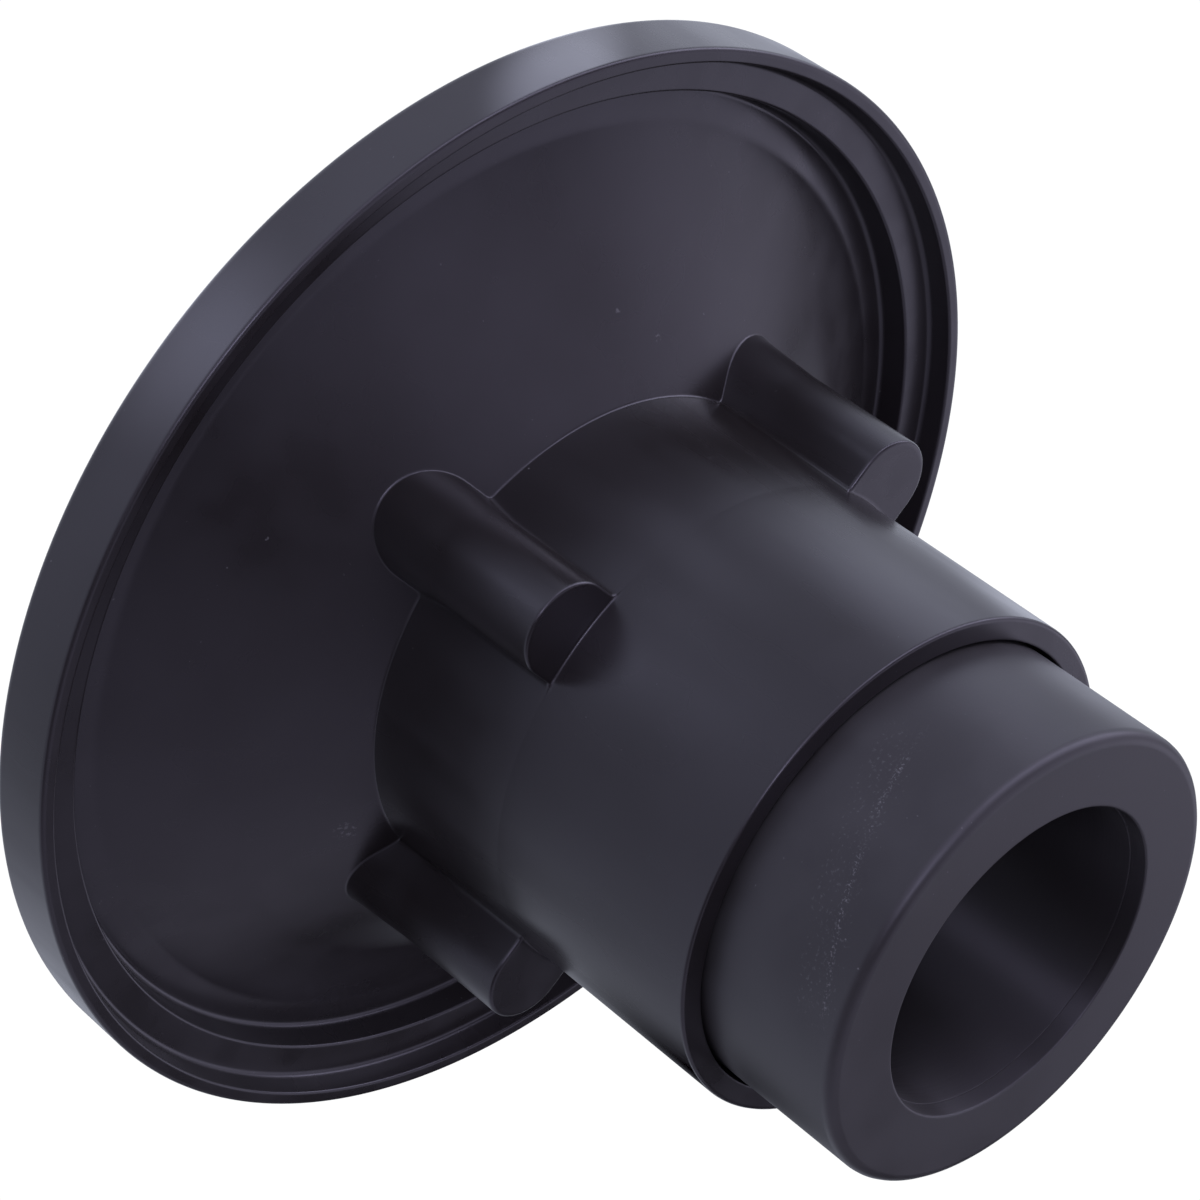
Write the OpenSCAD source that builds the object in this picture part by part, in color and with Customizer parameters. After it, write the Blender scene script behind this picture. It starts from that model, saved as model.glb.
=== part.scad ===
// Pipe flange: a conical flange with a stepped rim, a barrel with four blind
// screw bosses along it, and a reducing bushing seated in the barrel's socket.
// The front face of the flange lies on z = 0, and the barrel rises along +Z.

/* [Flange disc] */
// Outside diameter of the rim
flange_d = 222; // [212:1:240]
// Height of the rim from the front face to the rear lip
rim_h = 13.4; // [12:0.1:16]
// Width of the rim's wall
rim_wall = 2.8; // [2:0.1:4]
// Height of the terrace inside the rim
terrace_z = 8.6; // [7.5:0.1:10]
// Width of the terrace inside the rim
terrace_w = 6.6; // [5:0.1:8]
// Height of the lower terrace at its outside edge
lower_terrace_z = 2.5; // [2:0.1:3]
// Width of the lower terrace, between the second step and the cone
lower_terrace_w = 6.4; // [5:0.1:8]
// Rise of the lower terrace towards the cone
lower_terrace_rise = 1.6; // [0.5:0.1:1.8]
// Wall of the cone, measured along the axis
cone_wall = 4.5; // [4.2:0.1:6]

/* [Barrel] */
// Outside diameter of the barrel's straight part
barrel_d = 98.8; // [97:0.1:102]
// Outside diameter of the barrel at its root
barrel_root_d = 99.8; // [98:0.1:103]
// Height of the barrel's root, where the cone ends
barrel_root_z = 27.2; // [25:0.1:30]
// Height of the barrel's end face
barrel_end_z = 107.2; // [100:0.1:120]
// Diameter of the waterway through the barrel
waterway_d = 83; // [78:0.1:85]
// Diameter of the socket that holds the bushing
socket_d = 89; // [88.95:0.01:89.1]
// Depth of the socket
socket_depth = 42; // [36:0.5:44]

/* [Screw bosses] */
// Diameter of the circle through the bosses' axes
boss_pcd = 107.8; // [106:0.1:110]
// Diameter of a boss
boss_d = 18.3; // [17:0.1:19]
// Diameter of a boss at its root
boss_root_d = 20.1; // [19.2:0.1:22]
// Height where the wider root of a boss ends
boss_root_z = 34; // [31:0.5:40]
// Height of a boss's end face
boss_end_z = 60.2; // [57:0.1:70]
// Diameter of the pad around each insert, on the front of the cone
pad_d = 16; // [14:0.1:17]
// Height of the pads' faces
pad_z = 16.5; // [14:0.1:17]
// Diameter of the screw's clearance hole behind an insert
screw_hole_d = 6.8; // [6.4:0.1:7.2]
// Height where the screw hole ends
screw_hole_end_z = 55; // [45:0.5:56]

/* [Reducing bushing] */
// Outside diameter, that of a 3 inch pipe
bushing_d = 88.9; // [88.7:0.05:88.9]
// How far the bushing stands out of the barrel
bushing_out = 30; // [20:0.5:40]
// Diameter of the socket for a 2 inch pipe, which measures 60.3 mm
pipe_socket_d = 60.4; // [60.35:0.05:60.6]
// Depth of the pipe socket below its entry land
pipe_socket_depth = 44.5; // [38:0.5:50]
// Diameter of the entry land at the mouth
entry_d = 60.9; // [60.7:0.1:61.5]
// Depth of the entry land
entry_depth = 3.5; // [2:0.1:5]
// Diameter of the waterway below the pipe socket
bushing_waterway_d = 52.5; // [48:0.1:54]

/* [Threaded inserts] */
// Outside diameter of an insert
insert_d = 8; // [7:0.1:9]
// Length of an insert
insert_length = 12.7; // [9:0.1:15]
// Diameter of the thread's bore, that of a tapped 1/4-20 hole
insert_bore_d = 5.1; // [4.9:0.05:5.3]

/* [Hidden] */
$fn = 180;
boss_count = 4;
overcut = 1;
wall_draft = 0.9;
front_wall = 3;
insert_room = 0.05;
lead_in = 0.6;
lead_in_depth = 10;
corner_overlap = 0.3;
corner_slack = 0.002;

// Corner radii of the moulded sections
rim_front_edge = 1.5;
rim_rear_edge = 0.8;
fine_edge = 0.5;
step_root = 1;
cone_foot = 6;
barrel_root = 1.4;
throat_edge = 3;
bushing_edge = 2;

moulded_black = [0.17, 0.165, 0.195];
bushing_black = [0.2, 0.195, 0.22];
brass = [0.78, 0.62, 0.3];

rim_r = flange_d / 2;
lip_r = rim_r - rim_wall;
terrace_out_r = lip_r - wall_draft;
terrace_in_r = terrace_out_r - terrace_w;
lower_out_r = terrace_in_r - wall_draft;
lower_in_r = lower_out_r - lower_terrace_w;
lower_in_z = lower_terrace_z + lower_terrace_rise;
groove_in_r = terrace_in_r + front_wall;
groove_z = terrace_z - front_wall;

barrel_r = barrel_d / 2;
root_r = barrel_root_d / 2;
socket_r = socket_d / 2;
waterway_r = waterway_d / 2;
cone_slope = (barrel_root_z - lower_in_z) / (lower_in_r - root_r);
cone_mouth_r = lower_in_r - (cone_wall - lower_in_z) / cone_slope;
throat_z = (cone_mouth_r - waterway_r) * cone_slope;
socket_floor_z = barrel_end_z - socket_depth;

// Corner points of the half section, as [radius, height]
throat = [waterway_r, throat_z];
cone_mouth = [cone_mouth_r, 0];
groove_inside = [[groove_in_r, 0], [groove_in_r, groove_z]];
groove_outside = [[lip_r, groove_z], [lip_r, 0]];
rim_front = [rim_r, 0];
rim_rear = [rim_r, rim_h];
lip_inside = [lip_r, rim_h];
terrace_outside = [terrace_out_r, terrace_z];
terrace_inside = [terrace_in_r, terrace_z];
lower_outside = [lower_out_r, lower_terrace_z];
lower_inside = [lower_in_r, lower_in_z];
cone_top = [root_r, barrel_root_z];
barrel_straight = [barrel_r, boss_end_z];
barrel_end = [barrel_r, barrel_end_z];
socket_mouth = [socket_r + lead_in, barrel_end_z];
socket_entry = [socket_r, barrel_end_z - lead_in_depth];
socket_floor = [socket_r, socket_floor_z];
waterway_top = [waterway_r, socket_floor_z];

// The sliver between the corner at b and an arc of radius r that touches the
// lines from b to a and from b to c. Added to a hollow corner or taken off a
// proud one, it rounds the corner. It reaches past both lines by an overlap,
// and the arc runs just over them, so that every crossing is a clean one.
module corner(a, b, c, r) {
    to_a = (a - b) / norm(a - b);
    to_c = (c - b) / norm(c - b);
    half_angle = acos(to_a * to_c) / 2;
    reach = r / tan(half_angle);
    to_centre = (to_a + to_c) / norm(to_a + to_c) * r / sin(half_angle);
    translate(b + to_centre)
        difference() {
            scale(1 + corner_overlap / r)
                polygon([[0, 0], to_a * reach - to_centre, -to_centre,
                         to_c * reach - to_centre]);
            circle(r = r + corner_slack);
        }
}

// Places its children on the axis of one boss, counted from +X
module at_boss(index)
    rotate([0, 0, index * 360 / boss_count])
        translate([boss_pcd / 2, 0, 0]) children();

// Half section of the disc, cone and barrel, with its corners rounded
module body_section() {
    difference() {
        union() {
            polygon(concat([throat, cone_mouth], groove_inside, groove_outside,
                [rim_front, rim_rear, lip_inside, terrace_outside,
                 terrace_inside, lower_outside, lower_inside, cone_top,
                 barrel_straight, barrel_end, socket_mouth, socket_entry,
                 socket_floor, waterway_top]));
            corner(lip_inside, terrace_outside, terrace_inside, step_root);
            corner(terrace_inside, lower_outside, lower_inside, step_root);
            corner(lower_outside, lower_inside, cone_top, cone_foot);
            corner(lower_inside, cone_top, barrel_straight, barrel_root);
        }
        corner([lip_r, 0], rim_front, rim_rear, rim_front_edge);
        corner(rim_front, rim_rear, lip_inside, rim_rear_edge);
        corner(rim_rear, lip_inside, terrace_outside, fine_edge);
        corner(terrace_outside, terrace_inside, lower_outside, fine_edge);
        corner(barrel_straight, barrel_end, socket_mouth, fine_edge);
        corner(waterway_top, throat, cone_mouth, throat_edge);
    }
}

// Outline of a boss of radius r, with flat flanks that run into the barrel
module boss_outline(r) {
    circle(r = r);
    translate([-(boss_pcd - barrel_d + wall_draft) / 2 - fine_edge, -r])
        square([(boss_pcd - barrel_d + wall_draft) / 2 + fine_edge, 2 * r]);
}

// One boss, with its wider root, from the pad's level to its end face
module boss() {
    translate([0, 0, pad_z])
        linear_extrude(boss_root_z - pad_z) boss_outline(boss_root_d / 2);
    translate([0, 0, boss_root_z])
        linear_extrude(boss_end_z - boss_root_z) boss_outline(boss_d / 2);
}

// The open space in front of the cone, down to the front face
module funnel()
    rotate_extrude()
        polygon([[0, -overcut], [cone_mouth_r, -overcut], cone_mouth, throat,
                 [0, throat_z]]);

// The holes for one insert and for the end of its screw
module screw_hole() {
    translate([0, 0, pad_z - overcut])
        cylinder(d = insert_d + 2 * insert_room, h = insert_length + overcut);
    translate([0, 0, pad_z])
        cylinder(d = screw_hole_d, h = screw_hole_end_z - pad_z);
}

// The moulding: disc, stepped rim, cone, barrel and bosses in one piece
module flange_body()
    color(moulded_black)
        difference() {
            union() {
                rotate_extrude() body_section();
                difference() {
                    for (i = [0 : boss_count - 1]) at_boss(i) boss();
                    funnel();
                }
                for (i = [0 : boss_count - 1])
                    at_boss(i)
                        translate([0, 0, pad_z])
                            cylinder(d = pad_d, h = barrel_root_z - pad_z);
            }
            for (i = [0 : boss_count - 1]) at_boss(i) screw_hole();
        }

// Half section of the bushing, with its outside edge rounded
module bushing_section() {
    outer_r = bushing_d / 2;
    floor_z = socket_floor_z;
    top_z = barrel_end_z + bushing_out;
    land_z = top_z - entry_depth;
    stop_z = land_z - pipe_socket_depth;
    foot = [outer_r, floor_z];
    edge = [outer_r, top_z];
    mouth = [entry_d / 2, top_z];
    difference() {
        polygon([[bushing_waterway_d / 2, floor_z], foot, edge, mouth,
                 [entry_d / 2, land_z], [pipe_socket_d / 2, land_z],
                 [pipe_socket_d / 2, stop_z], [bushing_waterway_d / 2, stop_z]]);
        corner(foot, edge, mouth, bushing_edge);
    }
}

// The reducing bushing, cemented in the barrel's socket
module reducing_bushing()
    color(bushing_black)
        rotate_extrude() bushing_section();

// A brass threaded insert, flush with its pad
module boss_insert(index)
    color(brass)
        at_boss(index)
            translate([0, 0, pad_z])
                difference() {
                    cylinder(d = insert_d, h = insert_length);
                    translate([0, 0, -overcut])
                        cylinder(d = insert_bore_d, h = insert_length + 2 * overcut);
                }

flange_body();
reducing_bushing();
for (i = [1 : boss_count])
    boss_insert(i - 1);
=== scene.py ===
"""The looks of a moulded pipe flange: its body, its reducing bushing and its brass inserts.

Shapes are worked out in millimetres in the CAD frame, with the flange's front face on z = 0 and
the barrel along +Z, and become metres when a mesh is made.
"""

import math

import bmesh
import bpy
from mathutils import Matrix, Vector


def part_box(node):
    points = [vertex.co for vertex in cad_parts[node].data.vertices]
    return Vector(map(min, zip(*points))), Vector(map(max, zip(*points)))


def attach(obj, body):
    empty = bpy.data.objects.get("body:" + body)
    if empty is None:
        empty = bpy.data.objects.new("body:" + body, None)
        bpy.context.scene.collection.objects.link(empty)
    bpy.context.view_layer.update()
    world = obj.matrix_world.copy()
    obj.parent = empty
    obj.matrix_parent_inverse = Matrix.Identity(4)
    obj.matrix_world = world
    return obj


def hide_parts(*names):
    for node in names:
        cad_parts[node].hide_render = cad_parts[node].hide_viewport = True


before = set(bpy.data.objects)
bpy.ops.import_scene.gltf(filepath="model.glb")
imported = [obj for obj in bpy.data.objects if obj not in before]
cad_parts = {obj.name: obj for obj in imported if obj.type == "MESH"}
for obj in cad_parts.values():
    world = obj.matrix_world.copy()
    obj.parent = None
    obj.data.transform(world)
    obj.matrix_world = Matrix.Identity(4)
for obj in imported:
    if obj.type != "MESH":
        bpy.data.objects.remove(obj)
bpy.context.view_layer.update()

MM = 0.001


def millimetres(value):
    """A length from the frame, in whole hundredths of a millimetre."""
    return round(value / MM, 2)


body_low, body_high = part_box("flange_body")
bushing_low, bushing_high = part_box("reducing_bushing")
insert_low, insert_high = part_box("boss_insert_1")

# Sizes that the frame gives
RIM_R = millimetres(body_high.x)
BARREL_END_Z = millimetres(body_high.z)
BUSHING_R = millimetres(bushing_high.x)
BUSHING_TOP_Z = millimetres(bushing_high.z)
SOCKET_FLOOR_Z = millimetres(bushing_low.z)
BOSS_AXIS_R = millimetres((insert_low.x + insert_high.x) / 2)
INSERT_R = millimetres((insert_high.x - insert_low.x) / 2)
PAD_Z = millimetres(insert_low.z)
INSERT_TOP_Z = millimetres(insert_high.z)

# The disc: its rim, the terrace inside the rim, the lower terrace that leads to the cone, and the
# gasket groove in the front
RIM_H = 13.4
RIM_WALL = 2.8
WALL_DRAFT = 0.9
LIP_R = RIM_R - RIM_WALL
TERRACE_Z = 8.6
TERRACE_W = 6.6
TERRACE_OUT_R = LIP_R - WALL_DRAFT
TERRACE_IN_R = TERRACE_OUT_R - TERRACE_W
LOWER_TERRACE_W = 6.4
LOWER_OUT_R = TERRACE_IN_R - WALL_DRAFT
LOWER_OUT_Z = 2.5
LOWER_IN_R = LOWER_OUT_R - LOWER_TERRACE_W
LOWER_IN_Z = 4.1
FRONT_WALL = 3
GROOVE_Z = TERRACE_Z - FRONT_WALL
GROOVE_IN_R = TERRACE_IN_R + FRONT_WALL

# The barrel, which starts where the cone ends, and its socket and waterway
ROOT_R = 49.9
ROOT_Z = 27.2
BARREL_R = 49.4
SOCKET_R = 44.5
LEAD_IN = 0.6
LEAD_IN_DEPTH = 10
SOCKET_MOUTH_R = SOCKET_R + LEAD_IN
SOCKET_ENTRY_Z = BARREL_END_Z - LEAD_IN_DEPTH
WATERWAY_R = 41.5

# The cone's slope, and its inside, which runs from the mouth in the front to the waterway
CONE_WALL = 4.5
CONE_SLOPE = (ROOT_Z - LOWER_IN_Z) / (LOWER_IN_R - ROOT_R)
CONE_MOUTH_R = LOWER_IN_R - (CONE_WALL - LOWER_IN_Z) / CONE_SLOPE
THROAT_Z = (CONE_MOUTH_R - WATERWAY_R) * CONE_SLOPE

# The bosses: their wider roots, which taper up to BOSS_TAPER_Z, their pads, which start inside the
# cone's wall, and their holes
BOSS_COUNT = 4
BOSS_R = 9.15
BOSS_ROOT_R = 10.05
BOSS_TAPER_Z = 34.0
BOSS_END_Z = 60.2
PAD_R = 8.0
PAD_TOP_Z = 27.0
INSERT_ROOM = 0.05
INSERT_HOLE_R = INSERT_R + INSERT_ROOM
SCREW_HOLE_R = 3.4
SCREW_HOLE_END_Z = 55.0

# The bushing: its mouth's entry land, its pipe socket and its waterway
ENTRY_R = 30.45
ENTRY_DEPTH = 3.5
ENTRY_Z = BUSHING_TOP_Z - ENTRY_DEPTH
PIPE_SOCKET_R = 30.2
PIPE_SOCKET_DEPTH = 44.5
STOP_Z = ENTRY_Z - PIPE_SOCKET_DEPTH
BUSHING_WATERWAY_R = 26.25

# The inserts: their 1/4-20 thread, the knurled bands that hold them in the plastic, each from one
# share of the length to another, and the waist between, to which the bands slope down
THREAD_PITCH = 1.27
THREAD_CREST_R = 2.55
THREAD_ROOT_R = 3.1
THREAD_ENTRY_R = 3.3
THREAD_STEPS = 8
KNURL_STEPS = 8
KNURL_TEETH = 24
INSERT_SAMPLES = 4 * KNURL_TEETH
KNURL_DEPTH = 0.25
KNURL_BANDS = ((0.1, 0.44), (0.56, 0.9))
WAIST_DEPTH = 0.5
WAIST_R = INSERT_R - WAIST_DEPTH
WAIST_SLOPE = 0.03

# Radii of the mouldings' corners, and of the fillets round the bosses
RIM_FRONT_EDGE = 1.5
RIM_REAR_EDGE = 0.8
FINE_EDGE = 0.5
STEP_ROOT = 1
CONE_FOOT = 6
CONE_MOUTH_EDGE = 0.8
THROAT_EDGE = 3
GROOVE_EDGE = 0.4
BARREL_END_EDGE = 0.6
SOCKET_MOUTH_EDGE = 0.25
SEAT_EDGE = 0.3
BOSS_FLANK_FILLET = 1.2
ROOT_FILLET = 0.32
BOSS_END_EDGE = 0.6
CHORD_FILLET = 0.45
BUSHING_EDGE = 2
BUSHING_FOOT_EDGE = 0.8
MOUTH_EDGE = 0.35
LAND_EDGE = 0.1
STOP_EDGE = 0.4

# Just over the fillets on the bosses' end faces, where the barrel's wall is plain again
ABOVE_BOSSES_Z = BOSS_END_Z + 3 * CHORD_FILLET

# How finely the skins are sampled: the steps in an arc, the flat strip beside it that keeps its
# shading to itself, the longest stretch of a section, and the segments round a turned piece. An
# edge is shaded sharp from the last figure on.
ARC_STEPS = 5
EASE = 0.25
LONGEST_STEP = 12.0
BUSHING_SEGMENTS = 256
PAD_SEGMENTS = 96
HOLE_SEGMENTS = 64
SHARP_ANGLE = math.radians(32)

# Samples along the outline between a boss's nose and the middle of the gap to the next boss
NOSE_STEPS = 18
FLANK_STEPS = 5
FILLET_STEPS = 6
BARREL_STEPS = 24
BOSS_SAMPLES = NOSE_STEPS + FLANK_STEPS + FILLET_STEPS + 1

# Where the rings lie across the cone, up the bosses' walls and across their end faces, as shares
# of the way. They crowd towards a fillet.
CONE_SHARES = (0.1, 0.22, 0.34, 0.46, 0.58, 0.7, 0.82, 0.92, 0.98, 0.995)
TAPER_SHARES = (0.03, 0.35, 0.7, 1)
WALL_SHARES = (0.05, 0.35, 0.7, 1)
END_FACE_SHARES = (0.04, 0.35, 0.65, 0.96)

# How far a cutting tool reaches past a face, and the distance under which points are one
OVERCUT = 1.0
WELD = 0.0005

# Which of the bushing's faces line its bore: those no further out than the entry land and this
# margin, whose normals have no more than this share along the axis
BORE_MARGIN = 0.05
STEEP = 0.5


# ---------------------------------------------------------------- shape helpers

def mix(a, b, t):
    return a + (b - a) * t


def cone_z(r):
    """Height of the cone's back surface at radius r."""
    return ROOT_Z - (r - ROOT_R) * CONE_SLOPE


def barrel_r(z):
    """Radius of the barrel at height z: it tapers from its root to the bosses' ends."""
    return mix(ROOT_R, BARREL_R, min(1, (z - ROOT_Z) / (BOSS_END_Z - ROOT_Z)))


def rounded(corners):
    """The points of a half section through corners (r, z, radius), with an arc at each corner.

    The first and last corners only give the directions there. A point a little before and after
    each arc keeps the arc's shading off the flat next to it.
    """
    path = []
    for before, (r, z, radius), after in zip(corners, corners[1:], corners[2:]):
        corner = Vector((r, z))
        if radius == 0:
            path.append(corner)
            continue
        to_a = (Vector(before[:2]) - corner).normalized()
        to_c = (Vector(after[:2]) - corner).normalized()
        half = to_a.angle(to_c) / 2
        reach = radius / math.tan(half)
        centre = corner + (to_a + to_c).normalized() * radius / math.sin(half)
        start = corner + to_a * reach
        end = corner + to_c * reach
        path.append(start + to_a * EASE)
        for step in range(ARC_STEPS + 1):
            direction = (start - centre).slerp(end - centre, step / ARC_STEPS)
            path.append(centre + radius * direction)
        path.append(end + to_c * EASE)
    return path


def divided(path):
    """The same section, with its long straight stretches cut into shorter ones."""
    out = [path[0]]
    for a, b in zip(path, path[1:]):
        pieces = max(1, math.ceil((b - a).length / LONGEST_STEP))
        out += [mix(a, b, (k + 1) / pieces) for k in range(pieces)]
    return out


def skin(rings):
    """Points and faces of a closed skin over rings of equal length. The last joins the first."""
    count = len(rings[0])
    faces = []
    for k in range(len(rings)):
        a = k * count
        b = (k + 1) % len(rings) * count
        for i in range(count):
            j = (i + 1) % count
            faces.append((a + i, a + j, b + j, b + i))
    return [p for ring in rings for p in ring], faces


def make_object(name, points, faces):
    """A mesh object from points in millimetres, with its faces turned outwards."""
    mesh = bpy.data.meshes.new(name)
    mesh.from_pydata([Vector(p) * MM for p in points], [], faces)
    work = bmesh.new()
    work.from_mesh(mesh)
    bmesh.ops.recalc_face_normals(work, faces=work.faces)
    work.to_mesh(mesh)
    work.free()
    piece = bpy.data.objects.new(name, mesh)
    bpy.context.scene.collection.objects.link(piece)
    return piece


def finish_piece(piece, material, slot_name, *nodes):
    """Shades a piece smoothly, gives it its material and puts it in its CAD nodes' place."""
    piece.data.shade_smooth()
    piece.data.set_sharp_from_angle(angle=SHARP_ANGLE)
    piece.data.materials.clear()
    piece.data.materials.append(material)
    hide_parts(*nodes)
    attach(piece, "root")


def unit(turn):
    """The unit vector at an angle."""
    return Vector((math.cos(turn), math.sin(turn)))


def turned(r, turn, z):
    """The point at radius r and height z, at an angle round the axis."""
    return Vector((r * math.cos(turn), r * math.sin(turn), z))


def lathe(name, path, segments, centre=(0, 0)):
    """A closed section (r, z) turned round an upright axis through centre."""
    turns = [math.tau * i / segments for i in range(segments)]
    rings = [[(centre[0] + p.x * math.cos(t), centre[1] + p.x * math.sin(t), p.y) for t in turns]
             for p in path]
    return make_object(name, *skin(rings))


# ---------------------------------------------------------------- flange body

def fillet_centre(barrel, boss):
    """Centre of the hollow fillet between a boss's flank and the barrel."""
    y = boss + BOSS_FLANK_FILLET
    return Vector((math.sqrt((barrel + BOSS_FLANK_FILLET) ** 2 - y * y), y))


def half_outline(barrel, boss, grow=0):
    """Points from a boss's nose to the middle of the gap to the next boss, all grown outwards.

    They go round the nose, along the flank, through the fillet and on round the barrel.
    """
    centre = fillet_centre(barrel, boss)
    meets_barrel = math.atan2(centre.y, centre.x)
    points = []
    for k in range(NOSE_STEPS + 1):
        turn = math.pi / 2 * k / NOSE_STEPS
        points.append(Vector((BOSS_AXIS_R, 0)) + (boss + grow) * unit(turn))
    for k in range(1, FLANK_STEPS):
        points.append(Vector((mix(BOSS_AXIS_R, centre.x, k / FLANK_STEPS), boss + grow)))
    for k in range(FILLET_STEPS + 1):
        turn = mix(-math.pi / 2, meets_barrel - math.pi, k / FILLET_STEPS)
        points.append(centre + (BOSS_FLANK_FILLET - grow) * unit(turn))
    for k in range(1, BARREL_STEPS + 1):
        turn = mix(meets_barrel, math.pi / BOSS_COUNT, k / BARREL_STEPS)
        points.append((barrel + grow) * unit(turn))
    return points


def spread_angles():
    """The angle of each sample on a plain circle, evenly spread over the boss and over the gap."""
    centre = fillet_centre(BARREL_R, BOSS_R)
    meets_barrel = math.atan2(centre.y, centre.x)
    boss = [meets_barrel * k / (BOSS_SAMPLES - 1) for k in range(BOSS_SAMPLES)]
    gap = [mix(meets_barrel, math.pi / BOSS_COUNT, k / BARREL_STEPS)
           for k in range(1, BARREL_STEPS + 1)]
    return boss + gap


def boss_weights():
    """1 on the boss, 0 on the barrel, and falling along the fillet between them."""
    falling = [1 - k / FILLET_STEPS for k in range(FILLET_STEPS + 1)]
    return [1.0] * (BOSS_SAMPLES - len(falling)) + falling + [0.0] * BARREL_STEPS


SPREAD_ANGLES = spread_angles()
BOSS_WEIGHTS = boss_weights()


def whole(half):
    """A whole ring from the samples between a boss's nose and the middle of the next gap."""
    mirrored = [Vector((p.x, -p.y, p.z)) for p in reversed(half)]
    part = mirrored[:-1] + half[:-1]
    ring = []
    for k in range(BOSS_COUNT):
        turn = Matrix.Rotation(math.tau * k / BOSS_COUNT, 3, "Z")
        ring += [turn @ p for p in part]
    return ring


def wall_ring(z, boss):
    """The outline of the barrel and its bosses at height z."""
    return [Vector((p.x, p.y, z)) for p in half_outline(barrel_r(z), boss)]


def foot_ring(turn):
    """The root fillet where the outline meets the cone, from 0 on the cone to a quarter turn."""
    grow = ROOT_FILLET * (1 - math.sin(turn))
    lift = ROOT_FILLET * (1 - math.cos(turn))
    outline = half_outline(ROOT_R, BOSS_ROOT_R, grow)
    return [Vector((p.x, p.y, cone_z(p.length) + lift)) for p in outline]


def circle_ring(r, z):
    return [turned(r, angle, z) for angle in SPREAD_ANGLES]


def cone_ring(foot, start_r, t):
    """A ring on the cone, from a circle of radius start_r (t = 0) to the outline's foot (t = 1)."""
    ring = []
    for p, angle in zip(foot, SPREAD_ANGLES):
        r = mix(start_r, math.hypot(p.x, p.y), t)
        turn = mix(angle, math.atan2(p.y, p.x), t)
        ring.append(turned(r, turn, cone_z(r)))
    return ring


def chord_ring(turn):
    """The hollow fillet from a boss's end face up the barrel: 0 on the face to a quarter turn.

    Between the bosses, the same ring climbs the barrel's wall.
    """
    fillet_rise = CHORD_FILLET * (1 - math.cos(turn))
    wall_rise = CHORD_FILLET * (0.5 + turn)
    ring = []
    for angle, weight in zip(SPREAD_ANGLES, BOSS_WEIGHTS):
        r = BARREL_R + CHORD_FILLET * weight * (1 - math.sin(turn))
        ring.append(turned(r, angle, BOSS_END_Z + mix(wall_rise, fillet_rise, weight)))
    return ring


def quarter_turns():
    return [math.pi / 2 * k / ARC_STEPS for k in range(ARC_STEPS + 1)]


def rings_between(first, last, shares):
    """Rings between two others, each at its share of the way."""
    return [[mix(a, b, share) for a, b in zip(first, last)] for share in shares]


def boss_wall_rings():
    """Rings up the outline's wall, from the root fillet, past the tapered roots, to the edges."""
    taper_end = wall_ring(BOSS_TAPER_Z, BOSS_R)
    wall_top = BOSS_END_Z - BOSS_END_EDGE - EASE
    rings = rings_between(foot_ring(math.pi / 2), taper_end, TAPER_SHARES)
    return rings + [wall_ring(mix(BOSS_TAPER_Z, wall_top, share), BOSS_R) for share in WALL_SHARES]


def boss_end_rings():
    """Rings over a boss's rounded edge, across its flat end face and into the barrel's wall."""
    rings = []
    for turn in quarter_turns():
        z = BOSS_END_Z - BOSS_END_EDGE * (1 - math.sin(turn))
        rings.append(wall_ring(z, BOSS_R - BOSS_END_EDGE * (1 - math.cos(turn))))
    rings += rings_between(rings[-1], chord_ring(0), END_FACE_SHARES)
    return rings + [chord_ring(turn) for turn in quarter_turns()]


def inner_and_rim_path():
    """The section from above the bosses over the barrel's end, inside, and round to the cone."""
    return divided(rounded([
        (BARREL_R, BOSS_END_Z, 0),
        (BARREL_R, ABOVE_BOSSES_Z, 0),
        (BARREL_R, BARREL_END_Z, BARREL_END_EDGE),
        (SOCKET_MOUTH_R, BARREL_END_Z, SOCKET_MOUTH_EDGE),
        (SOCKET_R, SOCKET_ENTRY_Z, 0),
        (SOCKET_R, SOCKET_FLOOR_Z, 0),
        (WATERWAY_R, SOCKET_FLOOR_Z, SEAT_EDGE),
        (WATERWAY_R, THROAT_Z, THROAT_EDGE),
        (CONE_MOUTH_R, 0, CONE_MOUTH_EDGE),
        (GROOVE_IN_R, 0, GROOVE_EDGE),
        (GROOVE_IN_R, GROOVE_Z, GROOVE_EDGE),
        (LIP_R, GROOVE_Z, GROOVE_EDGE),
        (LIP_R, 0, GROOVE_EDGE),
        (RIM_R, 0, RIM_FRONT_EDGE),
        (RIM_R, RIM_H, RIM_REAR_EDGE),
        (LIP_R, RIM_H, FINE_EDGE),
        (TERRACE_OUT_R, TERRACE_Z, STEP_ROOT),
        (TERRACE_IN_R, TERRACE_Z, FINE_EDGE),
        (LOWER_OUT_R, LOWER_OUT_Z, STEP_ROOT),
        (LOWER_IN_R, LOWER_IN_Z, CONE_FOOT),
        (ROOT_R, ROOT_Z, 0),
    ]))


def body_shell():
    """The whole moulding as one closed skin, apart from the front's pads and screw holes."""
    path = inner_and_rim_path()
    start_r = path[-1].x
    foot = foot_ring(0)
    rings = [cone_ring(foot, start_r, share) for share in CONE_SHARES]
    rings += [foot_ring(turn) for turn in quarter_turns()]
    rings += boss_wall_rings()
    rings += boss_end_rings()
    rings += [circle_ring(p.x, p.y) for p in path]
    return make_object("flange_body_moulding", *skin([whole(ring) for ring in rings]))


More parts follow.
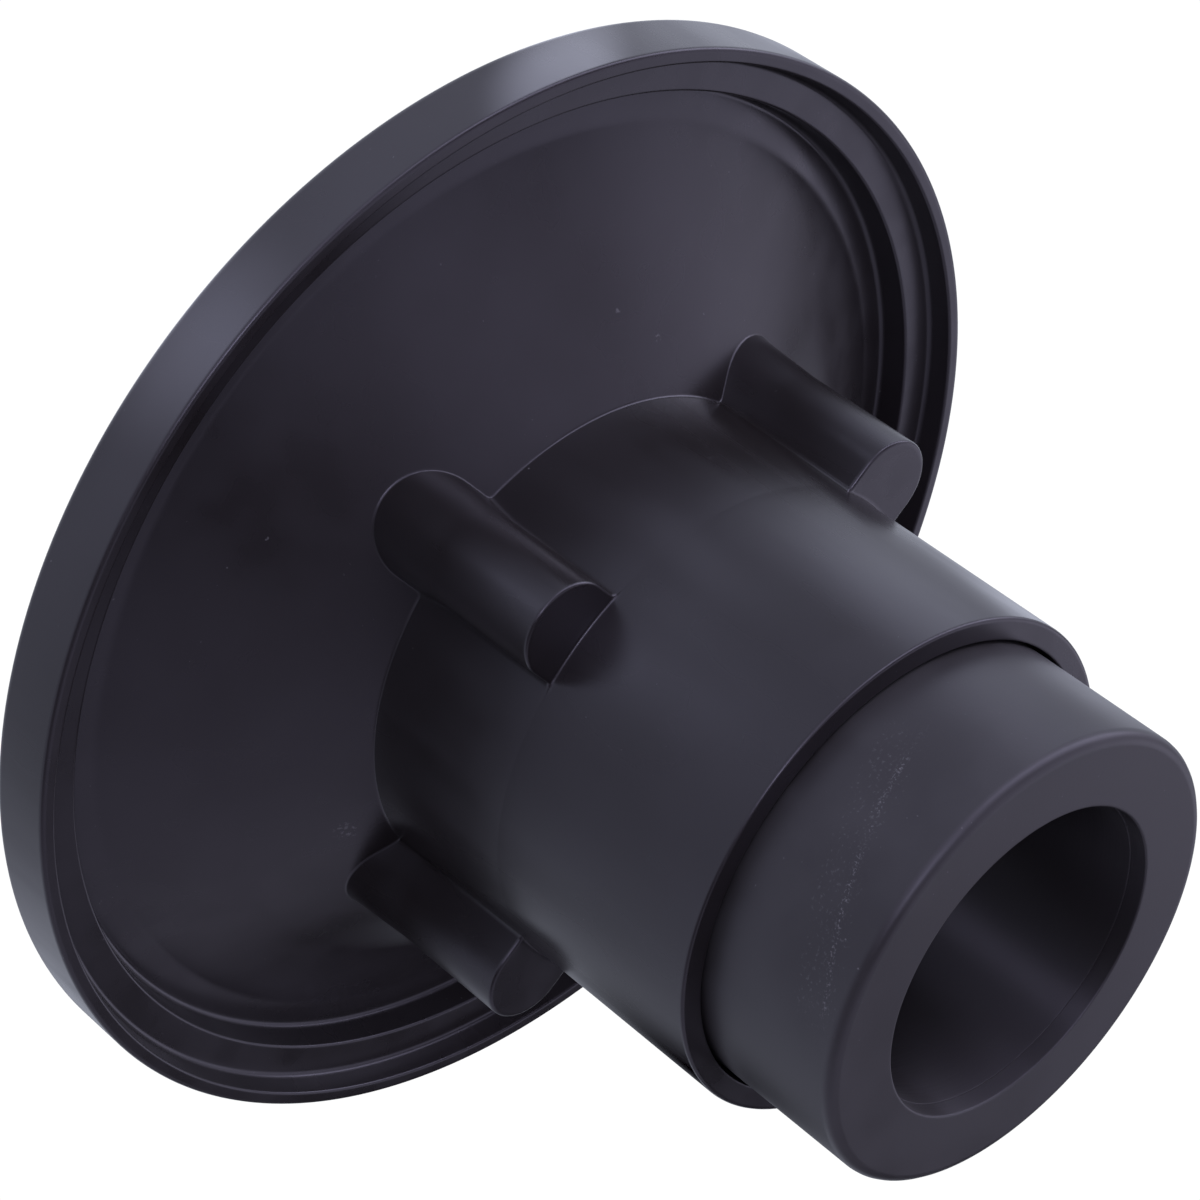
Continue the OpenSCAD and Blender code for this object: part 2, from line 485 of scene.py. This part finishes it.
def cut(piece, tool, operation):
    """Applies a boolean with another object, which is then removed."""
    change = piece.modifiers.new(operation.lower(), "BOOLEAN")
    change.operation = operation
    change.solver = "EXACT"
    change.object = tool
    bpy.context.view_layer.update()
    changed = piece.evaluated_get(bpy.context.evaluated_depsgraph_get())
    result = bpy.data.meshes.new_from_object(changed)
    work = bmesh.new()
    work.from_mesh(result)
    bmesh.ops.dissolve_degenerate(work, edges=work.edges, dist=WELD * MM)
    work.to_mesh(result)
    work.free()
    piece.modifiers.clear()
    piece.data = result
    bpy.data.objects.remove(tool)


def boss_centres():
    turns = [math.tau * k / BOSS_COUNT for k in range(BOSS_COUNT)]
    return [(BOSS_AXIS_R * math.cos(t), BOSS_AXIS_R * math.sin(t)) for t in turns]


def plugs(path, segments, name):
    """A solid plug on each boss's axis, all in one object. The path starts and ends on the axis."""
    work = bmesh.new()
    for centre in boss_centres():
        part = lathe(name, path, segments, centre)
        work.from_mesh(part.data)
        bpy.data.objects.remove(part)
    bmesh.ops.remove_doubles(work, verts=work.verts, dist=WELD * MM)
    mesh = bpy.data.meshes.new(name)
    work.to_mesh(mesh)
    work.free()
    joined = bpy.data.objects.new(name, mesh)
    bpy.context.scene.collection.objects.link(joined)
    return joined


def add_pads(piece):
    """The round pads on the front of the cone, one around each insert."""
    top = (PAD_R, PAD_TOP_Z, 0)
    path = rounded([top, top, (PAD_R, PAD_Z, FINE_EDGE), (0, PAD_Z, 0)])
    axis = [Vector((0, PAD_Z)), Vector((0, PAD_TOP_Z))]
    cut(piece, plugs(path + axis, PAD_SEGMENTS, "pads"), "UNION")


def cut_screw_holes(piece):
    """The holes for the inserts, and the narrower ones behind them for the ends of the screws."""
    path = [Vector(p) for p in ((0, PAD_Z - OVERCUT), (INSERT_HOLE_R, PAD_Z - OVERCUT),
                                (INSERT_HOLE_R, INSERT_TOP_Z), (SCREW_HOLE_R, INSERT_TOP_Z),
                                (SCREW_HOLE_R, SCREW_HOLE_END_Z), (0, SCREW_HOLE_END_Z))]
    cut(piece, plugs(path, HOLE_SEGMENTS, "screw_holes"), "DIFFERENCE")


def build_body():
    body = body_shell()
    add_pads(body)
    cut_screw_holes(body)
    finish_piece(body, flange_plastic(), "flange_plastic", "flange_body")


# ---------------------------------------------------------------- reducing bushing

def bushing_path():
    """The bushing's closed section."""
    corners = [
        (BUSHING_WATERWAY_R, SOCKET_FLOOR_Z, FINE_EDGE),
        (BUSHING_R, SOCKET_FLOOR_Z, BUSHING_FOOT_EDGE),
        (BUSHING_R, BUSHING_TOP_Z, BUSHING_EDGE),
        (ENTRY_R, BUSHING_TOP_Z, MOUTH_EDGE),
        (ENTRY_R, ENTRY_Z, 0),
        (PIPE_SOCKET_R, ENTRY_Z, LAND_EDGE),
        (PIPE_SOCKET_R, STOP_Z, STOP_EDGE),
        (BUSHING_WATERWAY_R, STOP_Z, FINE_EDGE),
    ]
    return divided(rounded([corners[-1], *corners, corners[0]]))


def line_bore(piece, material):
    """Gives the faces that line the bushing's bore, and face its axis, a material of their own."""
    piece.data.materials.append(material)
    for face in piece.data.polygons:
        in_bore = math.hypot(face.center.x, face.center.y) / MM < ENTRY_R + BORE_MARGIN
        if in_bore and face.normal.dot(face.center) < 0 and abs(face.normal.z) < STEEP:
            face.material_index = 1


def build_bushing():
    bushing = lathe("reducing_bushing_turned", bushing_path(), BUSHING_SEGMENTS)
    finish_piece(bushing, bushing_plastic(), "bushing_plastic", "reducing_bushing")
    line_bore(bushing, bore_plastic())


# ---------------------------------------------------------------- brass inserts

def insert_height(share):
    """Height at a share of the insert's length, from its face on the pad."""
    return mix(PAD_Z, INSERT_TOP_Z, share)


def ring_of(radius_at, z):
    """A ring whose radius follows radius_at(turn)."""
    turns = [math.tau * i / INSERT_SAMPLES for i in range(INSERT_SAMPLES)]
    return [turned(radius_at(turn), turn, z) for turn in turns]


def plain_ring(r, z):
    return ring_of(lambda turn: r, z)


def knurled_ring(z, twist):
    """A ring of pointed teeth, turned on by a share of one tooth."""
    def radius(turn):
        phase = (turn / math.tau * KNURL_TEETH + twist) % 1
        return INSERT_R - KNURL_DEPTH * abs(2 * phase - 1)

    return ring_of(radius, z)


def threaded_ring(z):
    """A ring across the internal thread at height z."""
    def radius(turn):
        phase = (z / THREAD_PITCH - turn / math.tau) % 1
        return mix(THREAD_ROOT_R, THREAD_CREST_R, abs(2 * phase - 1))

    return ring_of(radius, z)


def outside_rings():
    """Up the outside of an insert: two knurled bands with opposite slants, and a waist between."""
    rings = [plain_ring(INSERT_R - KNURL_DEPTH, insert_height(0))]
    for slant, (start, end) in zip((1, -1), KNURL_BANDS):
        rings.append(plain_ring(WAIST_R, insert_height(start - WAIST_SLOPE)))
        for step in range(KNURL_STEPS + 1):
            share = step / KNURL_STEPS
            rings.append(knurled_ring(insert_height(mix(start, end, share)), slant * share))
        rings.append(plain_ring(WAIST_R, insert_height(end + WAIST_SLOPE)))
    return rings + [plain_ring(INSERT_R - KNURL_DEPTH, insert_height(1))]


def inside_rings():
    """Down the threaded bore of an insert, with a small countersink at each end."""
    depth = THREAD_ENTRY_R - THREAD_CREST_R
    low, high = insert_height(0), insert_height(1)
    steps = round((high - low - 2 * depth) / THREAD_PITCH * THREAD_STEPS)
    rings = [plain_ring(THREAD_ENTRY_R, high)]
    rings += [threaded_ring(mix(high - depth, low + depth, k / steps)) for k in range(steps + 1)]
    return rings + [plain_ring(THREAD_ENTRY_R, low)]


def build_inserts():
    """Four inserts that share one mesh, one on each boss's axis."""
    material = brass()
    first = make_object("threaded_insert_1", *skin(outside_rings() + inside_rings()))
    for k, centre in enumerate(boss_centres()):
        name = f"threaded_insert_{k + 1}"
        piece = first if k == 0 else bpy.data.objects.new(name, first.data)
        if k > 0:
            bpy.context.scene.collection.objects.link(piece)
        piece.location = Vector((*centre, 0)) * MM
        finish_piece(piece, material, "insert_brass", f"boss_insert_{k + 1}")


# ---------------------------------------------------------------- materials

# Colours, and the part of a noise's range over which it shows as clouds
PLASTIC_DARK = (0.0098, 0.0079, 0.0082)
PLASTIC_PALE = (0.0140, 0.0120, 0.0132)
PLASTIC_GLOSS_TINT = (0.86, 0.83, 1.0, 1)
BUSHING_DARK = (0.0160, 0.0142, 0.0150)
BUSHING_PALE = (0.0250, 0.0232, 0.0247)
CHALK = (0.16, 0.155, 0.17)
CHALK_ROUGHNESS = 0.7
BRASS_BRIGHT = (0.70, 0.48, 0.20)
BRASS_TARNISHED = (0.42, 0.28, 0.12)
CLOUD_LOW = 0.35
CLOUD_HIGH = 0.65

# Places of the pale rub marks on the flange: x, y, z and radius in millimetres
RUBBED_SPOTS = (
    (50.2, 41.0, 19.3, 0.9),
    (50.8, 30.5, 22.2, 1.0),
    (-52.9, 20.3, 23.6, 3.5),
    (38.9, 30.8, 47.5, 1.2),
)
RUB_STRENGTH = 0.35
RUB_CORE = 0.3

# The scuff on the bushing's outside: the direction that it slants across, its height and its
# patch's that way, the two values of y between which it fades in, and its stretch along x
SCUFF_DIRECTION = (0.323, 0, 1)
SCUFF_HEIGHT = 124.8
PATCH_HEIGHT = 122.8
SCUFF_SIDE = (30, 36)
SCUFF_MIDDLE_X = -4
SCUFF_HALF_LENGTH = 20
SCUFF_FADE = 8


def start_material(name):
    """A new material with its node tree, its shader, and places on the piece in millimetres."""
    material = bpy.data.materials.new(name)
    material.use_nodes = True
    tree = material.node_tree
    place = tree.nodes.new("ShaderNodeTexCoord")
    scaled = tree.nodes.new("ShaderNodeVectorMath")
    scaled.operation = "SCALE"
    scaled.inputs["Scale"].default_value = 1 / MM
    tree.links.new(place.outputs["Object"], scaled.inputs[0])
    return material, tree, tree.nodes["Principled BSDF"], scaled.outputs["Vector"]


def stretched(tree, where, factors):
    """The same places, with each axis scaled, so that a pattern is drawn out along some."""
    node = tree.nodes.new("ShaderNodeVectorMath")
    node.operation = "MULTIPLY"
    node.inputs[1].default_value = factors
    tree.links.new(where, node.inputs[0])
    return node.outputs["Vector"]


def noise(tree, where, size, detail=2.0):
    """Soft noise, around 0.5, with features about size millimetres across."""
    node = tree.nodes.new("ShaderNodeTexNoise")
    node.inputs["Scale"].default_value = 1 / size
    node.inputs["Detail"].default_value = detail
    tree.links.new(where, node.inputs["Vector"])
    return node.outputs["Fac"]


def along(tree, where, direction):
    """How far each place lies along a direction."""
    node = tree.nodes.new("ShaderNodeVectorMath")
    node.operation = "DOT_PRODUCT"
    node.inputs[1].default_value = direction
    tree.links.new(where, node.inputs[0])
    return node.outputs["Value"]


def distance_from(tree, where, point):
    node = tree.nodes.new("ShaderNodeVectorMath")
    node.operation = "DISTANCE"
    node.inputs[1].default_value = point
    tree.links.new(where, node.inputs[0])
    return node.outputs["Value"]


def ramp(tree, value, start, end, low=0.0, high=1.0):
    """A smooth change from low to high as value goes from start to end."""
    node = tree.nodes.new("ShaderNodeMapRange")
    node.interpolation_type = "SMOOTHSTEP"
    node.inputs["From Min"].default_value = start
    node.inputs["From Max"].default_value = end
    node.inputs["To Min"].default_value = low
    node.inputs["To Max"].default_value = high
    tree.links.new(value, node.inputs["Value"])
    return node.outputs["Result"]


def combined(tree, operation, first, second):
    """Two values put together, by MULTIPLY, ADD or MAXIMUM. The second may be a plain number."""
    node = tree.nodes.new("ShaderNodeMath")
    node.operation = operation
    tree.links.new(first, node.inputs[0])
    if isinstance(second, (int, float)):
        node.inputs[1].default_value = second
    else:
        tree.links.new(second, node.inputs[1])
    return node.outputs["Value"]


def product(tree, *values):
    result = values[0]
    for value in values[1:]:
        result = combined(tree, "MULTIPLY", result, value)
    return result


def clouded(tree, value, low=0.0, high=1.0):
    """From low to high over the middle of a noise's range."""
    return ramp(tree, value, CLOUD_LOW, CLOUD_HIGH, low, high)


def band(tree, value, middle, half_width, fade):
    """1 where value is within half_width of middle, fading to 0 over the fade on each side."""
    rise = ramp(tree, value, middle - half_width - fade, middle - half_width)
    fall = ramp(tree, value, middle + half_width + fade, middle + half_width)
    return product(tree, rise, fall)


def mixed_colour(tree, factor, first, second):
    """A colour between two. Each is a constant or another node's colour."""
    node = tree.nodes.new("ShaderNodeMixRGB")
    tree.links.new(factor, node.inputs["Fac"])
    for name, colour in (("Color1", first), ("Color2", second)):
        if isinstance(colour, tuple):
            node.inputs[name].default_value = (*colour, 1)
        else:
            tree.links.new(colour, node.inputs[name])
    return node.outputs["Color"]


def bumps(tree, shader, layers):
    """Stacks bumps, each a (height, depth in millimetres) pair, onto the shader's normal."""
    normal = None
    for height, depth in layers:
        node = tree.nodes.new("ShaderNodeBump")
        node.inputs["Distance"].default_value = depth * MM
        tree.links.new(height, node.inputs["Height"])
        if normal:
            tree.links.new(normal, node.inputs["Normal"])
        normal = node.outputs["Normal"]
    tree.links.new(normal, shader.inputs["Normal"])


def dust(tree, where):
    """Sparse pale specks, gathered in patches."""
    specks = ramp(tree, noise(tree, where, 0.9, detail=1.0), 0.76, 0.8)
    patches = ramp(tree, noise(tree, where, 28.0), 0.5, 0.62)
    strength = ramp(tree, noise(tree, where, 4.0), 0.4, 0.6, 0.1, 0.5)
    return product(tree, specks, patches, strength)


def rubs(tree, where, points):
    """Small pale rub marks around a few points, each (x, y, z, radius) in millimetres."""
    broken = ramp(tree, noise(tree, where, 0.8, detail=3.0), 0.5, 0.62)
    marks = None
    for *point, radius in points:
        near = ramp(tree, distance_from(tree, where, point), radius, radius * RUB_CORE)
        mark = product(tree, near, broken)
        marks = mark if marks is None else combined(tree, "MAXIMUM", marks, mark)
    return marks


def chalked(tree, shader, marks, base, roughness):
    """Gives a plastic its colour and roughness, with chalky marks where it is rubbed."""
    tree.links.new(mixed_colour(tree, marks, base, CHALK), shader.inputs["Base Color"])
    marked = ramp(tree, marks, 0, 1, 0, CHALK_ROUGHNESS)
    tree.links.new(combined(tree, "MAXIMUM", roughness, marked), shader.inputs["Roughness"])
    shader.inputs["Specular Tint"].default_value = PLASTIC_GLOSS_TINT


def flange_plastic():
    """Satin black moulded plastic, slightly clouded, with a fine skin and a few rubbed specks."""
    material, tree, shader, where = start_material("flange_plastic")
    clouds = noise(tree, where, 34.0, detail=3.0)
    fine_skin = noise(tree, where, 0.7)
    flow = noise(tree, stretched(tree, where, (1, 1, 0.12)), 9.0)
    rubbed = ramp(tree, rubs(tree, where, RUBBED_SPOTS), 0, 1, 0, RUB_STRENGTH)
    marks = combined(tree, "MAXIMUM", rubbed, dust(tree, where))
    base = mixed_colour(tree, clouded(tree, clouds), PLASTIC_DARK, PLASTIC_PALE)
    satin = combined(tree, "ADD", clouded(tree, flow, 0.25, 0.3), clouded(tree, clouds, 0, 0.04))
    chalked(tree, shader, marks, base, satin)
    bumps(tree, shader, [(fine_skin, 0.004), (noise(tree, where, 7.0), 0.02)])
    return material


def scuffs(tree, where):
    """A broken chalky line that slants round the bushing's outside, and a dulled patch round it."""
    side = ramp(tree, along(tree, where, (0, 1, 0)), *SCUFF_SIDE)
    across = along(tree, where, (1, 0, 0))
    reach = band(tree, across, SCUFF_MIDDLE_X, SCUFF_HALF_LENGTH, SCUFF_FADE)
    height = along(tree, where, SCUFF_DIRECTION)
    broken = ramp(tree, noise(tree, where, 0.4, detail=4.0), 0.52, 0.66)
    strength = ramp(tree, noise(tree, where, 5.0), 0.38, 0.62, 0.1, 0.6)
    thin = band(tree, height, SCUFF_HEIGHT, half_width=0.1, fade=0.9)
    fine = ramp(tree, noise(tree, where, 0.6, detail=3.0), 0.55, 0.75)
    wide = band(tree, height, PATCH_HEIGHT, half_width=2.5, fade=4)
    line = product(tree, thin, side, reach, broken, strength)
    patch = product(tree, wide, side, reach, fine)
    return line, patch


def bushing_plastic():
    """Duller black plastic, with faint turning lines and the scuffs of handling."""
    material, tree, shader, where = start_material("bushing_plastic")
    clouds = noise(tree, where, 22.0, detail=3.0)
    turning = noise(tree, stretched(tree, where, (0.02, 0.02, 1)), 0.55)
    grain = noise(tree, where, 0.5, detail=3.0)
    line, patch = scuffs(tree, where)
    scuffed = combined(tree, "MAXIMUM", line, ramp(tree, patch, 0, 1, 0, 0.2))
    marks = combined(tree, "MAXIMUM", scuffed, dust(tree, where))
    base = mixed_colour(tree, clouded(tree, clouds), BUSHING_DARK, BUSHING_PALE)
    chalked(tree, shader, marks, base, clouded(tree, clouds, 0.4, 0.46))
    bumps(tree, shader, [(grain, 0.008), (turning, 0.004), (line, 0.05)])
    return material


def bore_plastic():
    """The pipe socket's wall: fine rings round it draw every highlight out along the bore."""
    material, tree, shader, where = start_material("bore_plastic")
    clouds = noise(tree, where, 16.0, detail=3.0)
    rings = noise(tree, stretched(tree, where, (0.02, 0.02, 1)), 0.5, detail=3.0)
    base = mixed_colour(tree, clouded(tree, clouds), PLASTIC_PALE, BUSHING_DARK)
    tree.links.new(base, shader.inputs["Base Color"])
    tree.links.new(ramp(tree, rings, 0.3, 0.7, 0.4, 0.47), shader.inputs["Roughness"])
    tangent = tree.nodes.new("ShaderNodeTangent")
    tangent.direction_type = "RADIAL"
    tangent.axis = "Z"
    tree.links.new(tangent.outputs["Tangent"], shader.inputs["Tangent"])
    shader.inputs["Anisotropic"].default_value = 1
    shader.inputs["Anisotropic Rotation"].default_value = 0.25
    shader.inputs["Specular Tint"].default_value = PLASTIC_GLOSS_TINT
    bumps(tree, shader, [(rings, 0.004)])
    return material


def brass():
    """Turned brass, a little tarnished in patches."""
    material, tree, shader, where = start_material("insert_brass")
    tarnish = ramp(tree, noise(tree, where, 3.0, detail=4.0), 0.4, 0.7)
    turning = noise(tree, stretched(tree, where, (0.1, 0.1, 1)), 0.25)
    colour = mixed_colour(tree, tarnish, BRASS_BRIGHT, BRASS_TARNISHED)
    tree.links.new(colour, shader.inputs["Base Color"])
    tree.links.new(ramp(tree, tarnish, 0, 1, 0.24, 0.42), shader.inputs["Roughness"])
    shader.inputs["Metallic"].default_value = 1
    bumps(tree, shader, [(turning, 0.006)])
    return material


# ---------------------------------------------------------------- studio

# Each soft light's azimuth, elevation and half width in degrees, and its brightness. A brightness
# below zero makes it a black flag, which takes light away.
SOFT_LIGHTS = (
    (5, 0, 50, 4.6),
    (5, 28, 34, -2.6),
    (70, 18, 52, 0.8),
    (-35, 43, 50, 0.5),
    (-76, 24, 20, 0.62),
    (86, 42, 13, 6.5),
    (135, 35, 52, -0.4),
    (-104, 8, 24, -0.6),
    (-98, 31, 12, -0.8),
    (-66, 8, 13, -0.5),
    (-122, 2, 22, -0.4),
    (180, 82, 18, -0.35),
)

# The light from all round, the tint of all the lights, and the backdrop that the camera sees
EVEN_LIGHT = 0.5
STUDIO_TINT = (0.94, 0.92, 1.14, 1)
WHITE = (1, 1, 1, 1)
BACKDROP = 0.96

# The floor: its size and its gap to the part in millimetres, how white the camera sees it and how
# much light it gives, each from its darkest to its brightest, and the tint of that light
FLOOR_HALF = 4000
FLOOR_GAP = 0.05
FLOOR_WHITE = (1.03, 1.05)
FLOOR_LIGHT = (0.67, 0.73)
FLOOR_TINT = (0.95, 1.0, 1.18, 1)
FLOOR_CLOUDS = 400.0

# Pools of light on the floor, and below zero its shaded places: x, y, and inner and outer radius
# in millimetres, and brightness
FLOOR_POOLS = (
    (35, 150, 0, 110, 0.5),
    (4, 124, 0, 30, 1.3),
    (93, 86, 9, 24, 2.1),
    (106, 42, 16, 44, 0.4),
    (215, 5, 30, 100, 1.1),
    (150, -170, 20, 75, 0.8),
    (-158, -160, 15, 135, -0.8),
    (-170, -15, 20, 90, -0.15),
    (-95, 95, 0, 60, -0.2),
)


def direction_to(azimuth, elevation):
    turn, rise = math.radians(azimuth), math.radians(elevation)
    return (math.cos(turn) * math.cos(rise), math.sin(turn) * math.cos(rise), math.sin(rise))


def seen_by_camera(tree, camera_shader, other_shader):
    """One shader for what the camera sees directly, and another for light and reflections."""
    path = tree.nodes.new("ShaderNodeLightPath")
    choice = tree.nodes.new("ShaderNodeMixShader")
    tree.links.new(path.outputs["Is Camera Ray"], choice.inputs["Fac"])
    tree.links.new(other_shader, choice.inputs[1])
    tree.links.new(camera_shader, choice.inputs[2])
    return choice.outputs["Shader"]


def add_world():
    """Soft lights round the part, in front of a plain pale backdrop."""
    world = bpy.data.worlds.new("studio")
    world.use_nodes = True
    tree = world.node_tree
    place = tree.nodes.new("ShaderNodeTexCoord")
    light = None
    for azimuth, elevation, half_width, brightness in SOFT_LIGHTS:
        facing = along(tree, place.outputs["Generated"], direction_to(azimuth, elevation))
        glow = ramp(tree, facing, math.cos(math.radians(half_width)), 1, 0, brightness)
        light = glow if light is None else combined(tree, "ADD", light, glow)
    level = combined(tree, "MAXIMUM", combined(tree, "ADD", light, EVEN_LIGHT), 0)
    studio = tree.nodes["Background"]
    tree.links.new(level, studio.inputs["Strength"])
    studio.inputs["Color"].default_value = STUDIO_TINT
    backdrop = tree.nodes.new("ShaderNodeBackground")
    backdrop.inputs["Color"].default_value = WHITE
    backdrop.inputs["Strength"].default_value = BACKDROP
    surface = seen_by_camera(tree, backdrop.outputs["Background"], studio.outputs["Background"])
    tree.links.new(surface, tree.nodes["World Output"].inputs["Surface"])
    bpy.context.scene.world = world


def glowing(tree, strength, tint=WHITE):
    shader = tree.nodes.new("ShaderNodeEmission")
    shader.inputs["Color"].default_value = tint
    tree.links.new(strength, shader.inputs["Strength"])
    return shader.outputs["Emission"]


def floor_material():
    """White to the camera, with pools of light and shade for what it lights and reflects in."""
    material, tree, shader, where = start_material("studio_floor")
    tree.nodes.remove(shader)
    clouds = noise(tree, where, FLOOR_CLOUDS)
    light = ramp(tree, clouds, 0.3, 0.7, *FLOOR_LIGHT)
    for x, y, inner, outer, brightness in FLOOR_POOLS:
        pool = ramp(tree, distance_from(tree, where, (x, y, 0)), outer, inner, 0, brightness)
        light = combined(tree, "ADD", light, pool)
    white = ramp(tree, clouds, 0.3, 0.7, *FLOOR_WHITE)
    surface = seen_by_camera(tree, glowing(tree, white), glowing(tree, light, FLOOR_TINT))
    tree.links.new(surface, tree.nodes["Material Output"].inputs["Surface"])
    return material


def add_floor():
    """A plain pale floor, a hair below the part."""
    signs = ((-1, -1), (1, -1), (1, 1), (-1, 1))
    corners = [(FLOOR_HALF * x, FLOOR_HALF * y, -FLOOR_GAP) for x, y in signs]
    floor = make_object("floor", corners, [(0, 1, 2, 3)])
    floor.data.materials.append(floor_material())


# ---------------------------------------------------------------- camera

# Distances in metres, and the lens in millimetres
CAMERA_TARGET = Vector((7.3, 0, 24.5)) * MM
CAMERA_DISTANCE = 0.7166
CAMERA_ELEVATION = math.radians(34.67)
CAMERA_ROLL = math.radians(126.28)
CAMERA_LENS = 117.2
CAMERA_CLIP = (0.05, 20)


def add_camera():
    """Looks down at the part from the +Y side, rolled so that the barrel points down and right."""
    data = bpy.data.cameras.new("camera")
    data.lens = CAMERA_LENS
    data.clip_start, data.clip_end = CAMERA_CLIP
    back = Vector((0, math.cos(CAMERA_ELEVATION), math.sin(CAMERA_ELEVATION)))
    place = Matrix.Translation(CAMERA_TARGET + back * CAMERA_DISTANCE)
    aim = (-back).to_track_quat("-Z", "Y").to_matrix().to_4x4()
    camera = bpy.data.objects.new("camera", data)
    camera.matrix_world = place @ aim @ Matrix.Rotation(CAMERA_ROLL, 4, "Z")
    bpy.context.scene.collection.objects.link(camera)
    bpy.context.scene.camera = camera


add_camera()
add_world()
add_floor()
bpy.context.scene.view_settings.view_transform = "Standard"

build_body()
build_bushing()
build_inserts()
